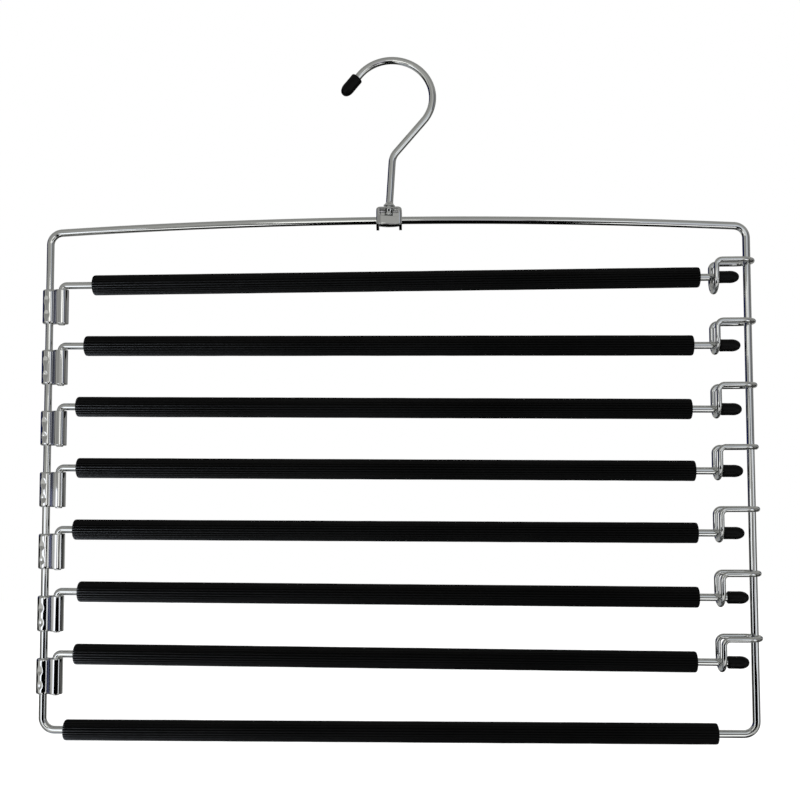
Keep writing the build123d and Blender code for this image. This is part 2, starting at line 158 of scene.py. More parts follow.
# Places that follow from the joints
joints = {joint["name"]: Vector(joint["pos_m"]) / MM for joint in frame["joints"]}
PIVOT = joints["hook_swivel"]
HINGES = [joints[f"arm_{tier + 1}_swing"] for tier in TIERS]
RAIL_Z = PIVOT.z - WEB_ABOVE_RAIL
BOTTOM_Z = RAIL_Z - FRAME_HEIGHT
MIDDLE_X = PIVOT.x + HOOK_SHIFT
LEFT_X, RIGHT_X = MIDDLE_X - FRAME_WIDTH / 2, MIDDLE_X + FRAME_WIDTH / 2
HINGE_X, LEG_X = LEFT_X + HINGE_OFFSET, RIGHT_X - CATCH_REACH
BAR_LENGTHS = [RIGHT_X - TIP_CLEARANCE - CAP_END_WALL - HINGE_X + ARM_SPREAD * share for share in ARM_SHARES]
CATCH_LEVELS = [hinge.z + CATCH_RISE - WELD_SPREAD * share for hinge, share in zip(HINGES, WELD_SHARES)]

# Colour sockets of a Mix node
MIX_A, MIX_B, MIX_RESULT = 6, 7, 2


# Materials
def nodes_of(material):
    material.use_nodes = True
    tree = material.node_tree
    shader = next(node for node in tree.nodes if node.type == "BSDF_PRINCIPLED")
    return tree, shader


def noise_node(tree, scale, detail, stretch=(1, 1, 1), source=None):
    """Noise in the piece's own coordinates or in a stored one, stretched along any of its axes."""
    if source:
        place = tree.nodes.new("ShaderNodeAttribute")
        place.attribute_name = source
        start = place.outputs["Vector"]
    else:
        start = tree.nodes.new("ShaderNodeTexCoord").outputs["Object"]
    mapping = tree.nodes.new("ShaderNodeMapping")
    mapping.inputs["Scale"].default_value = stretch
    texture = tree.nodes.new("ShaderNodeTexNoise")
    texture.inputs["Scale"].default_value = scale
    texture.inputs["Detail"].default_value = detail
    texture.inputs["Roughness"].default_value = 0.5
    tree.links.new(start, mapping.inputs["Vector"])
    tree.links.new(mapping.outputs["Vector"], texture.inputs["Vector"])
    return texture


def ramp_node(tree, stops):
    """Colour ramp with stops given as place and grey or colour."""
    node = tree.nodes.new("ShaderNodeValToRGB")
    elements = node.color_ramp.elements
    while len(elements) < len(stops):
        elements.new(0.5)
    for element, (place, value) in zip(elements, stops):
        element.position = place
        element.color = (*value, 1) if isinstance(value, tuple) else (value, value, value, 1)
    return node


def ramp(tree, source, stops, target):
    """Colour ramp from a noise to a socket."""
    node = ramp_node(tree, stops)
    tree.links.new(source.outputs["Fac"], node.inputs["Fac"])
    tree.links.new(node.outputs["Color"], target)


def bump(tree, source, strength, distance, shader, chain=None):
    """Bump from a noise, laid over an earlier one if a chain is given. The distance is in metres."""
    node = tree.nodes.new("ShaderNodeBump")
    node.inputs["Strength"].default_value = strength
    node.inputs["Distance"].default_value = distance
    tree.links.new(source.outputs["Fac"], node.inputs["Height"])
    if chain:
        tree.links.new(chain.outputs["Normal"], node.inputs["Normal"])
    tree.links.new(node.outputs["Normal"], shader.inputs["Normal"])
    return node


def chrome(name, tint, along, ripple, source="draw", fold=None):
    """Bright plating: faint draw lines along the wire, a soft ripple, and dull patches.
    A fold colour goes where the mesh's fold attribute says: painted shade, dark navy, in a crease."""
    material = bpy.data.materials.new(name)
    tree, shader = nodes_of(material)
    shader.inputs["Metallic"].default_value = 1.0
    cloud = noise_node(tree, scale=60.0, detail=3.0, source=source)
    colour = shader.inputs["Base Color"]
    # The fold colour is painted shade that darkens the crease to navy.
    if fold:
        crease = tree.nodes.new("ShaderNodeAttribute")
        crease.attribute_name = "fold"
        shade = tree.nodes.new("ShaderNodeMix")
        shade.data_type = "RGBA"
        shade.inputs[MIX_B].default_value = (*fold, 1)
        tree.links.new(crease.outputs["Fac"], shade.inputs["Factor"])
        tree.links.new(shade.outputs[MIX_RESULT], colour)
        colour = shade.inputs[MIX_A]
    ramp(tree, cloud, [(0.3, tuple(c * 0.94 for c in tint)), (0.7, tint)], colour)
    dull = noise_node(tree, scale=300.0, detail=3.0, stretch=along, source=source)
    ramp(tree, dull, [(0.35, 0.04), (0.62, 0.065), (0.8, 0.13)], shader.inputs["Roughness"])
    lines = noise_node(tree, scale=2400.0, detail=1.0, stretch=along, source=source)
    drawn = bump(tree, lines, strength=0.02, distance=0.00002, shader=shader)
    # The ripple is drawn out less than the lines are.
    wander = tuple(0.13 + 0.87 * a for a in along)
    waves = noise_node(tree, scale=350.0, detail=1.0, stretch=wander, source=source)
    bump(tree, waves, strength=ripple, distance=0.0001, shader=shader, chain=drawn)
    return material


def foam(name):
    """Near-black foam rubber with fine closed cells and a dusty bloom."""
    material = bpy.data.materials.new(name)
    tree, shader = nodes_of(material)
    bloom = noise_node(tree, scale=45.0, detail=5.0, stretch=(0.35, 1, 1))
    ramp(tree, bloom, [(0.3, 0.0008), (0.72, 0.0018)], shader.inputs["Base Color"])
    dull = noise_node(tree, scale=420.0, detail=3.0)
    ramp(tree, dull, [(0.3, 0.36), (0.7, 0.47)], shader.inputs["Roughness"])
    shader.inputs["Specular IOR Level"].default_value = 0.09
    cells = noise_node(tree, scale=2600.0, detail=3.0)
    fine = bump(tree, cells, strength=0.22, distance=0.00008, shader=shader)
    waves = noise_node(tree, scale=160.0, detail=2.0, stretch=(0.4, 1, 1))
    bump(tree, waves, strength=0.15, distance=0.0002, shader=shader, chain=fine)
    return material


def rubber(name):
    """Dipped black rubber with a dull skin and shiny rubs."""
    material = bpy.data.materials.new(name)
    tree, shader = nodes_of(material)
    cloud = noise_node(tree, scale=260.0, detail=4.0)
    ramp(tree, cloud, [(0.3, 0.0010), (0.75, 0.0022)], shader.inputs["Base Color"])
    rubs = noise_node(tree, scale=700.0, detail=4.0)
    ramp(tree, rubs, [(0.32, 0.3), (0.7, 0.42)], shader.inputs["Roughness"])
    shader.inputs["Specular IOR Level"].default_value = 0.12
    grain = noise_node(tree, scale=2200.0, detail=3.0)
    fine = bump(tree, grain, strength=0.1, distance=0.00004, shader=shader)
    waves = noise_node(tree, scale=330.0, detail=2.0)
    bump(tree, waves, strength=0.2, distance=0.00012, shader=shader, chain=fine)
    return material


# A wire's draw lines follow its stored draw coordinate, a sheet's its own Z.
WIRE = chrome("chrome_wire", (0.80, 0.81, 0.80), along=(0.05, 1, 1), ripple=0.45)
THIN_WIRE = chrome("chrome_catch", (0.80, 0.81, 0.80), along=(0.08, 1, 1), ripple=0.7)
SHEET = chrome("chrome_sheet", (0.76, 0.765, 0.76), along=(1, 1, 0.3), ripple=0.35, source=None)
# The clips' fold colour is painted shade, dark navy in the waist's crease.
CLIP = chrome("chrome_clip", (0.78, 0.785, 0.78), along=(1, 1, 0.15), ripple=0.25, source=None,
              fold=(0.05, 0.06, 0.15))
FOAM = foam("sleeve_foam")
RUBBER = rubber("cap_rubber")


# Mesh tools
def skin(name, rings, material, body, node, wrap=False, runs=None):
    """Closed mesh over a row of rings with equal numbers of points, round each ring and along the row.
    Runs give each ring's place along its wire, for the draw lines in its material."""
    count = len(rings[0])
    verts = [point * MM for ring in rings for point in ring]
    faces = []
    for row in range(len(rings) if wrap else len(rings) - 1):
        near, far = row * count, (row + 1) % len(rings) * count
        for index in range(count):
            after = (index + 1) % count
            faces.append((near + index, near + after, far + after, far + index))
    if not wrap:
        faces.append(tuple(reversed(range(count))))
        faces.append(tuple(range(len(verts) - count, len(verts))))
    made = piece(name, verts, faces, material, body, node)
    if runs:
        values, draw_radius = [], 2.0
        for run in runs:
            for index in range(count):
                angle = 2 * pi * index / count
                values += [run * MM, draw_radius * cos(angle) * MM, draw_radius * sin(angle) * MM]
        made.data.attributes.new("draw", "FLOAT_VECTOR", "POINT").data.foreach_set("vector", values)
    return made


def piece(name, verts, faces, material, body, node):
    """Object from a mesh in metres that rides on a body and replaces a CAD node."""
    mesh = bpy.data.meshes.new(name)
    mesh.from_pydata(verts, [], faces)
    mesh.validate()
    mesh.shade_smooth()
    mesh.set_sharp_from_angle(angle=radians(40))
    mesh.materials.append(material)
    made = bpy.data.objects.new(name, mesh)
    bpy.context.scene.collection.objects.link(made)
    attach(made, body)
    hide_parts(node)
    return made


def turn(centre, across, upward, radius, start, end, step=7.5):
    """Points along an arc, from start to end degrees, in the plane of two directions."""
    count = ceil(abs(end - start) / step)
    angles = [radians(start + (end - start) * index / count) for index in range(count + 1)]
    return [centre + across * (radius * cos(a)) + upward * (radius * sin(a)) for a in angles]


def directions(path, closed):
    """The way that a path runs at each of its points."""
    count = len(path)
    out = []
    for index in range(count):
        before = path[index - 1] if closed or index else path[0]
        after = path[(index + 1) % count] if closed or index < count - 1 else path[-1]
        out.append((after - before).normalized())
    return out


def tube_rings(path, radii, sides, closed=False):
    """Circles along a path, carried from point to point without twist."""
    ways = directions(path, closed)
    across = ways[0].orthogonal().normalized()
    frames = [across]
    for before, after in zip(ways, ways[1:] + ways[:1]):
        across = before.rotation_difference(after) @ across
        frames.append(across)
    # A closed path spreads what the last circle is off the first over all of them.
    twist = 0.0
    if closed:
        last = frames[len(ways)]
        twist = atan2(frames[0].cross(last).dot(ways[0]), frames[0].dot(last))
    rings = []
    for index, (point, way, radius) in enumerate(zip(path, ways, radii)):
        side = Matrix.Rotation(-twist * index / len(path), 3, way) @ frames[index]
        turns = [Matrix.Rotation(2 * pi * step / sides, 3, way) for step in range(sides)]
        rings.append([point + about @ side * radius for about in turns])
    return rings


def distances(path):
    """How far along a path each of its points is."""
    out = [0.0]
    for before, after in zip(path, path[1:]):
        out.append(out[-1] + (after - before).length)
    return out


def wire(name, path, diameter, material, body, sides=28, closed=False):
    """Round wire along a path; an open one has its cut ends slightly rounded."""
    radius, bevel = diameter / 2, 0.3
    if closed:
        # The runs go up and down again, so that the draw lines meet.
        runs = distances(path)
        runs = [min(run, runs[-1] - run) for run in runs]
        rings = tube_rings(path, [radius] * len(path), sides, closed=True)
        return skin(name + "_round", rings, material, body, name, wrap=True, runs=runs)
    start, end = (path[1] - path[0]).normalized(), (path[-1] - path[-2]).normalized()
    full = [path[0], path[0] + start * bevel] + path[1:-1] + [path[-1] - end * bevel, path[-1]]
    radii = [radius - bevel] + [radius] * len(path) + [radius - bevel]
    rings = tube_rings(full, radii, sides)
    return skin(name + "_round", rings, material, body, name, runs=distances(full))


def circle(x, radius, points):
    """Points round +X."""
    angles = [2 * pi * step / points for step in range(points)]
    return [Vector((x, radius * cos(angle), radius * sin(angle))) for angle in angles]


def lathe(place, stations, points):
    """Rings about +X of a placed frame, each given as how far along it is and its radius."""
    return [[place @ point for point in circle(along, radius, points)] for along, radius in stations]


# The frame, one loop of wire
def frame_path():
    half = FRAME_WIDTH / 2
    arch = (half * half + RAIL_RISE * RAIL_RISE) / (2 * RAIL_RISE)
    inner, reach = half - FRAME_CORNER, arch - FRAME_CORNER
    shoulder = degrees(asin(inner / reach))
    corner_z = sqrt(reach * reach - inner * inner) - arch
    foot_z = FRAME_CORNER - FRAME_HEIGHT
    rail = turn(Z * -arch, Z, X, arch, -shoulder, shoulder, step=0.25)
    shares = [k / 12 for k in range(1, 12)]
    path = rail[1:-1]
    path += turn(X * inner + Z * corner_z, Z, X, FRAME_CORNER, shoulder, 90)
    path += [X * half + Z * (corner_z * (1 - share) + foot_z * share) for share in shares]
    path += turn(X * inner + Z * foot_z, Z, X, FRAME_CORNER, 90, 180)
    path += [X * (inner * (1 - 2 * share)) - Z * FRAME_HEIGHT for share in shares]
    path += turn(X * -inner + Z * foot_z, Z, -X, FRAME_CORNER, 180, 90)
    path += [X * -half + Z * (foot_z * (1 - share) + corner_z * share) for share in shares]
    path += turn(X * -inner + Z * corner_z, Z, -X, FRAME_CORNER, 90, shoulder)
    # The loop starts under the bracket, which hides where its draw lines turn.
    seam = min(range(len(rail) - 2), key=lambda index: abs(path[index].x + HOOK_SHIFT))
    return [Vector((MIDDLE_X, 0, RAIL_Z)) + point for point in path[seam:] + path[:seam]]


wire("frame_wire", frame_path(), FRAME_WIRE, WIRE, "frame", sides=32, closed=True)


# The swing arms
def droop(tier):
    """Angle by which an arm's bar falls towards its catch."""
    seat = CATCH_LEVELS[tier] - CATCH_DROP + (CATCH_WIRE + ARM_WIRE) / 2 + SEAT_GAP
    fall = -TOP_ARM_LIFT if tier == 0 else HINGES[tier].z - seat
    return asin(fall / (LEG_X - HINGE_X))


def bar_place(tier, along):
    """Frame on an arm's bar, with +X towards its tip."""
    place = Matrix.Translation(HINGES[tier]) @ Matrix.Rotation(droop(tier), 4, "Y")
    return place @ Matrix.Translation((along, 0, 0))


def arm_path(tier):
    fall = droop(tier)
    setback = ARM_BEND / tan((pi / 2 - fall) / 2)
    foot = Z * -(ARM_WIRE / 2 + SEAT_GAP + CLIP_HEIGHT + STEM_PROUD)
    bend = turn(X * ARM_BEND - Z * setback, X, Z, ARM_BEND, 180, 90 - degrees(fall))
    bar = X * cos(fall) - Z * sin(fall)
    path = [foot, foot * 0.55] + bend + [bar * (BAR_LENGTHS[tier] * k / 8) for k in range(1, 9)]
    return [HINGES[tier] + point for point in path]


def sleeve_rings(place, length, wire_radius, seed):
    """Ribbed foam tube along +X: crests between narrow grooves, soft ends and a bore."""
    points = RIBS * 8
    # Places near an end, and what the soft end takes off the radius there
    ends = [(0.0, 0.60), (0.12, 0.36), (0.35, 0.16), (0.7, 0.05), (1.2, 0.0)]
    margin, rows = 6, 44
    swell_length, dent_length = 23, 9
    stations = ends + [(margin + (length - 2 * margin) * k / rows, 0.0) for k in range(rows + 1)]
    stations += [(length - at, cut) for at, cut in reversed(ends)]
    rings = []
    for along, cut in stations:
        swell = 0.028 * noise.noise(Vector((along / swell_length, seed * 7.3, 0)))
        ring = []
        for step in range(points):
            angle = 2 * pi * step / points
            groove = RIB_DEPTH * (1 - abs(sin(RIBS * angle / 2)))
            spot = Vector((along / dent_length, 3 * cos(angle) + seed, 3 * sin(angle)))
            # The noise keeps inside the nominal radius.
            dent = 0.05 * noise.noise(spot) - 0.06
            radius = SLEEVE_RADIUS - cut - groove * (1 - cut) + swell + dent
            ring.append(place @ Vector((along, radius * cos(angle), radius * sin(angle))))
        rings.append(ring)
    bore, flare, depth = wire_radius + FIT, 0.25, 0.3
    inside = [(length, bore + flare), (length - depth, bore), (depth, bore), (0, bore + flare)]
    return rings + lathe(place, inside, points)


def sleeve(name, place, length, wire_radius, body, seed):
    rings = sleeve_rings(place, length, wire_radius, seed)
    made = skin(name + "_foam", rings, FOAM, body, name, wrap=True)


def cap(name, place, length, wire_radius, body):
    """Dipped cap along +X: rounded open end, slightly waisted wall and a bullet nose."""
    outer, bore, lip, nose = wire_radius + CAP_WALL, wire_radius + FIT, 1.05, 4.7
    bluntness, flat = 0.9, 0.12
    stations = [(length - CAP_END_WALL, bore), (0.3, bore), (0.08, bore + 0.1)]
    for a in (radians(angle) for angle in range(0, 91, 15)):
        stations.append((lip * (1 - cos(a)), outer - lip * (1 - sin(a))))
    stations += [(2.2, outer - 0.03), (4.0, outer - 0.05), (5.6, outer - 0.03)]
    for a in (radians(angle) for angle in range(0, 90, 9)):
        stations.append((length - nose + nose * sin(a), outer * cos(a) ** bluntness))
    stations.append((length, flat))
    skin(name + "_dipped", lathe(place, stations, points=36), RUBBER, body, name)


for tier in TIERS:
    number, body = tier + 1, f"arm_{tier + 1}"
    wire(f"arm_wire_{number}", arm_path(tier), ARM_WIRE, WIRE, body)
    low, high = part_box(f"arm_sleeve_{number}")
    start = (low.x / MM - HINGES[tier].x) / cos(droop(tier))
    length = (high.x - low.x) / MM
    sleeve(f"arm_sleeve_{number}", bar_place(tier, start), length, ARM_WIRE / 2, body, seed=number)
    cap_start = BAR_LENGTHS[tier] + CAP_END_WALL - ARM_CAP
    cap(f"arm_cap_{number}", bar_place(tier, cap_start), ARM_CAP, ARM_WIRE / 2, body)

low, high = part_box("bottom_sleeve")
bottom = Matrix.Translation((low.x / MM, 0, BOTTOM_Z))
sleeve("bottom_sleeve", bottom, (high.x - low.x) / MM, FRAME_WIRE / 2, "frame", seed=8)


# The catches, each a closed ring welded to the right upright
def catch_path(tier):
    half, leg = CATCH_SPREAD / 2, -CATCH_REACH
    nose = (FRAME_WIRE + CATCH_WIRE) / 2 - WELD_SINK - half
    bend = X * (leg + CATCH_CORNER) - Z * CATCH_CORNER
    path = turn(X * nose, X, Y, half, -90, 90)
    path += turn(bend + Y * half, Z, -X, CATCH_CORNER, 0, 90)
    path += turn(X * leg - Z * (CATCH_DROP - half), Y, -Z, half, 0, 180)
    path += turn(bend - Y * half, Z, -X, CATCH_CORNER, 90, 0)
    place = Vector((RIGHT_X, 0, CATCH_LEVELS[tier]))
    return [place + point for point in path]


for tier in TIERS:
    name = f"catch_ring_{tier + 1}"
    wire(name, catch_path(tier), CATCH_WIRE, THIN_WIRE, "frame", sides=24, closed=True)


# The hinge clips, each one strip folded round the upright and the stem
def clip_outline():
    """Pairs of outer and inner points round the strip, from one side of its seam to the other,
    each with the rounding of its rims and whether the crimps dent it."""
    outer_upright, outer_stem = UPRIGHT_BORE + CLIP_SHEET, STEM_BORE + CLIP_SHEET
    a, b = outer_upright + WAIST_RADIUS, outer_stem + WAIST_RADIUS
    waist_x = (a * a - b * b + HINGE_OFFSET ** 2) / (2 * HINGE_OFFSET)
    waist_y = sqrt(a * a - waist_x * waist_x)
    on_stem = degrees(atan2(waist_y, waist_x - HINGE_OFFSET))
    on_upright = degrees(atan2(waist_y, waist_x))
    axis = X * HINGE_OFFSET
    edge = degrees(CLIP_SLIT / STEM_BORE)
    pairs = []

    def barrel(centre, outer, inner, start, end, rim, crimped, step=7.0):
        outside = turn(centre, X, Y, outer, start, end, step)
        inside = turn(centre, X, Y, inner, start, end, step)
        pairs.extend((o, i, rim, crimped) for o, i in zip(outside, inside))

    def waist(side):
        """The pinched waist, from the stem's barrel to the upright's."""
        centre = X * waist_x + Y * (side * waist_y)
        outside = turn(centre, X, Y * side, WAIST_RADIUS, on_stem - 180, on_upright - 180, step=8)
        inside = turn(axis, X, Y * side, STEM_BORE, on_stem, 180 - edge, step=12)
        # Between the two bores the leaves lie side by side.
        inside += [X * x + Y * (side * CLIP_SLIT) for x in (4.5, 3.4, 2.3)]
        inside += turn(Vector(), X, Y * side, UPRIGHT_BORE, edge, on_upright, step=12)
        last = len(outside) - 1
        spread = [inside[round(k * (len(inside) - 1) / last)] for k in range(last + 1)]
        return [(o, i, 0.3, False) for o, i in zip(outside, spread)][1:-1]

    seam_start, seam_end = CLIP_SEAM_DEG + CLIP_SEAM_HALF_DEG, 360 + CLIP_SEAM_DEG - CLIP_SEAM_HALF_DEG
    barrel(axis, outer_stem, STEM_BORE, seam_start, on_stem, rim=0.35, crimped=False)
    pairs.extend(waist(1))
    barrel(Vector(), outer_upright, UPRIGHT_BORE, on_upright, 360 - on_upright, 1.0, True, step=5.0)
    pairs.extend(reversed(waist(-1)))
    barrel(axis, outer_stem, STEM_BORE, 360 - on_stem, seam_end, rim=0.35, crimped=False)
    return pairs


def clip_rings():
    """Closed section of the strip at each height, as rings for a skin: first its outer points."""
    outer = UPRIGHT_BORE + CLIP_SHEET
    spots = []
    for direction, share, reach, depth in CRIMPS:
        a = radians(direction)
        spots.append((Vector((outer * cos(a), outer * sin(a), share * CLIP_HEIGHT)), reach, depth))
    pairs = clip_outline()
    # Rows near a rim know how far they are from it, the others don't need to.
    from_rims, rows = [0.0, 0.03, 0.12, 0.28, 0.55, 1.0], 34
    levels = [(at, at) for at in from_rims]
    levels += [(None, 1 + (CLIP_HEIGHT - 2) * k / rows) for k in range(1, rows)]
    levels += [(at, CLIP_HEIGHT - at) for at in reversed(from_rims)]
    rings = []
    for from_rim, z in levels:
        outside, inside = [], []
        for outer, inner, rim, crimped in pairs:
            way = (inner - outer).normalized()
            shift = 0.0
            if from_rim is not None and from_rim < rim:
                shift = rim - sqrt(max(rim * rim - (rim - from_rim) ** 2, 0.0))
            point = outer + Z * z
            if crimped:
                for spot, reach, depth in spots:
                    gap = point - spot
                    # The crimps are taller than wide.
                    near = hypot(gap.x, gap.y, gap.z * 0.72) / reach
                    if near < 1:
                        shift += depth * (1 - near * near) ** 1.4
            outside.append(point + way * min(shift, CRIMP_LIMIT))
            inside.append(inner + Z * z)
        rings.append(outside + inside[::-1])
    return rings


def clip_crease_shade(rings):
    """How far each point of a clip lies in the waist's crease, from 0 to 1, on the outside only, for the
    painted shade there.
    """
    outer_count = len(rings[0]) // 2
    return [
        max(0.0, 1 - abs(point.x - CREASE_X) / CREASE_REACH) ** 0.5 if index < outer_count else 0.0
        for ring in rings for index, point in enumerate(ring)
    ]


clip_section = clip_rings()
for tier in TIERS:
    name = f"hinge_clip_{tier + 1}"
    foot = Vector((LEFT_X, 0, HINGES[tier].z - ARM_WIRE / 2 - SEAT_GAP - CLIP_HEIGHT))
    rings = [[foot + point for point in ring] for ring in clip_section]
    made = skin(name + "_folded", rings, CLIP, "frame", name)
    # The fold attribute places the painted shade in the crease.
    crease_shade = made.data.attributes.new("fold", "FLOAT", "POINT")
    crease_shade.data.foreach_set("value", clip_crease_shade(clip_section))


# The hook
def hook_place():
    return Matrix.Translation(PIVOT) @ Matrix.Rotation(radians(HOOK_LEAN_DEG), 4, "Y")


def bowl(start, end):
    """Points along the bowl's oval in the hook's own frame, from start to end degrees."""
    centre = Z * (STEM_HEIGHT + BEND_TO_BOWL) - X * BOWL_SET_OVER
    return turn(centre, X * (BOWL_HALF / BOWL_RISE), Z, BOWL_RISE, start, end, step=3)


def hook_tip():
    """The way that the hook's straight tip points in the hook's own frame."""
    angle = radians(BOWL_END_DEG)
    return (Z * (BOWL_RISE * cos(angle)) - X * (BOWL_HALF * sin(angle))).normalized()


def hook_stations():
    """Points of the hook's wire and its radius at each, with the swellings on both sides of the web."""
    radius, stretch = HOOK_WIRE / 2, BOWL_HALF / BOWL_RISE
    over = BOWL_SET_OVER / stretch
    start = asin(BOWL_RISE / hypot(BEND_TO_BOWL, over)) - atan2(over, BEND_TO_BOWL)
    veer = degrees(atan2(stretch * sin(start), cos(start)))
    setback = STEM_BEND * tan(radians(veer) / 2)
    # The peened head hangs below the web, the rolled collar stands on it.
    head = -BRACKET_SHEET / 2 - SEAT_GAP
    collar = BRACKET_SHEET / 2 + SEAT_GAP + 0.2
    swell = [(head - drop, r) for drop, r in (
        (3.1, 1.7), (3.08, 2.1), (2.95, 2.27), (2.7, 2.34), (2.4, 2.33), (1.9, 2.22), (1.3, 2.1),
        (0.7, 2.0), (0.2, 1.96))]
    swell += [(collar + rise, r) for rise, r in (
        (-0.1, 1.95), (0, 2.75), (0.06, 2.95), (0.2, 3.08), (0.42, 3.09), (0.7, 2.92), (1.0, 2.62),
        (1.4, 2.27), (1.8, 2.05), (2.2, 1.97), (2.8, 1.95))]
    path = [Z * z for z in (8, 14, 20)]
    path += turn(X * STEM_BEND + Z * (STEM_HEIGHT - setback), X, Z, STEM_BEND, 180, 180 - veer, step=4)
    path += bowl(-degrees(start), BOWL_END_DEG)
    end = path[-1]
    path += [end + hook_tip() * reach for reach in (3, 6, HOOK_TIP - CAP_END_WALL)]
    return [(Z * z, r) for z, r in swell] + [(point, radius) for point in path]


hook = hook_stations()
path = [hook_place() @ point for point, radius in hook]
rings = tube_rings(path, [radius for point, radius in hook], sides=32)
skin("hook_wire_round", rings, WIRE, "hook", "hook_wire", runs=distances(path))
along = hook_tip()
start = bowl(0, BOWL_END_DEG)[-1] + along * (HOOK_TIP - HOOK_CAP)
tip = Matrix.Translation(start) @ Matrix.Rotation(atan2(-along.z, along.x), 4, "Y")
cap("hook_cap", hook_place() @ tip, HOOK_CAP, HOOK_WIRE / 2, "hook")


# The bracket, one box of folded sheet over the rail, with a window in front and a tongue at each side
def bracket_outline(reach_x, reach_y, corner):
    """Points round the box from above, with a quarter for each side and its corner, the front first."""
    along = (-1, -0.962, -0.8, -0.55, -0.28, 0, 0.28, 0.55, 0.8, 0.962, 1)
    deep = (-1, -0.72, -0.5, -0.33, -0.16, 0, 0.16, 0.33, 0.5, 0.72, 1)
    points = []
    for quarter, (way, out) in enumerate([(X, -Y), (Y, X), (-X, Y), (-Y, -X)]):
        steps, half, far = (along, reach_x, reach_y) if quarter % 2 == 0 else (deep, reach_y, reach_x)
        points += [way * (half * step) + out * (far + corner) for step in steps]
        points += turn(way * half + out * far, out, way, corner, 0, 90, step=15)[1:-1]
    return points


def on_flat(x):
    """Whether a point belongs to the front or back and not to a side or corner."""
    return abs(x) < BRACKET_X + 0.01


def bracket_foot(x, y):
    """Height of the sheet's lower edge: a bellied band in front and behind, and a tongue at each side."""
    if on_flat(x):
        return -2.4 - 0.4 * (1 - (x / BRACKET_X) ** 2)
    curve = [(0.0, -5.3), (0.5, -5.24), (0.9, -5.05), (1.3, -4.65), (1.6, -4.25), (2.6, -2.95), (4.2, -2.35)]
    for (a, low), (b, high) in zip(curve, curve[1:]):
        if abs(y) <= b:
            return low + (high - low) * (abs(y) - a) / (b - a)
    return curve[-1][1]


def bracket_shell():
    # Rows up a wall: shares of the band below the window, shares of the window, and rows above it
    band = (0, 0.02, 0.05, 0.09, 0.15, 0.3, 0.5, 0.7, 0.85, 0.91, 0.95, 0.98, 1)
    opening = (0.33, 0.66, 1)
    low_rows, top_rows = len(band) + len(opening), 6
    plan = bracket_outline(BRACKET_X, BRACKET_Y, BRACKET_CORNER)

    def level(row, spot):
        """Height of a row at a place of the plan."""
        foot, sill = bracket_foot(spot.x, spot.y), WINDOW_SILL - SILL_SLOPE * spot.x
        if row < len(band):
            return foot + (sill - foot) * band[row]
        if row < low_rows:
            return sill + (WINDOW_TOP - sill) * opening[row - len(band)]
        return WINDOW_TOP + (BRACKET_TOP - WINDOW_TOP) * (row - low_rows + 1) / top_rows

    def bulge(row, x):
        """How far the band's front stands out, less towards its ends and rims."""
        ends, rims = 1 - (x / BRACKET_X) ** 8, 1 - (2 * band[row] - 1) ** 20
        return (BAND_BULGE - BULGE_SLOPE * x) * ends * rims

    def wall(row, inner):
        fold = BRACKET_TOP - BRACKET_FILLET
        height = level(row, plan[0]) if row >= low_rows - 1 else 0.0
        inset = 0.0
        if height > fold:
            inset = BRACKET_FILLET - sqrt(max(BRACKET_FILLET ** 2 - (height - fold) ** 2, 0.0))
        corner = BRACKET_INNER_CORNER if inner else BRACKET_CORNER
        ring = []
        for spot, there in zip(plan, bracket_outline(BRACKET_X - inset, BRACKET_Y - inset, corner)):
            z = level(row, spot)
            point = there + Z * z
            if row < len(band) and on_flat(spot.x) and spot.y < 0:
                point.y -= bulge(row, spot.x)
            if inner and z < TONGUE_START and not on_flat(spot.x):
                pinch = TONGUE_PINCH * min((TONGUE_START - z) / 1.2, 1.0)
                point.x -= pinch if spot.x > 0 else -pinch
            ring.append(point)
        return ring

    def hole(radius, z):
        angles = [atan2(spot.y, spot.x) for spot in plan]
        return [Vector((radius * cos(angle), radius * sin(angle), z)) for angle in angles]

    outer = [wall(row, False) for row in range(low_rows + top_rows)]
    inner = [wall(row, True) for row in range(low_rows)]
    rings = outer + [hole(WEB_HOLE + WEB_HOLE_RIM, BRACKET_TOP), hole(WEB_HOLE, BRACKET_TOP - 0.12)]
    rings += [hole(WEB_HOLE, BRACKET_TOP - BRACKET_SHEET)] + inner[::-1]
    count, total = len(plan), len(rings)
    sill_row, lintel_row = len(band) - 1, low_rows - 1
    across = range(1, 9)  # the window's columns in the front

    def quad(row, index):
        after, beside = (row + 1) % total, (index + 1) % count
        return row * count + index, row * count + beside, after * count + beside, after * count + index

    def at(row, index, inside):
        """Number of a point of a wall's outside or inside."""
        return (total - 1 - row if inside else row) * count + index

    # The walls without the window
    verts = [point * MM for ring in rings for point in ring]
    faces = []
    for row in range(total):
        windowed = sill_row <= row < lintel_row or total - 1 - lintel_row <= row < total - 1 - sill_row
        faces += [quad(row, index) for index in range(count) if not (windowed and index in across)]

    # The window's sill and lintel, then its jambs
    def reveal(corners, flip):
        rim = [at(row, index, False) for row, index in corners]
        rim += [at(row, index, True) for row, index in reversed(corners)]
        faces.append(tuple(reversed(rim)) if flip else tuple(rim))

    for index in across:
        for row, flip in ((sill_row, False), (lintel_row, True)):
            reveal([(row, index), (row, index + 1)], flip)
    for row in range(sill_row, lintel_row):
        for index, flip in ((across[0], True), (across[-1] + 1, False)):
            reveal([(row, index), (row + 1, index)], flip)
    place = Vector((PIVOT.x, 0, RAIL_Z)) * MM
    verts = [place + vert for vert in verts]
    made = piece("saddle_bracket_folded", verts, faces, SHEET, "frame", "saddle_bracket")
    soften = made.modifiers.new("rims", "BEVEL")
    soften.width, soften.segments = BRACKET_RIM * MM, 3
    soften.limit_method, soften.angle_limit = "ANGLE", radians(40)


bracket_shell()

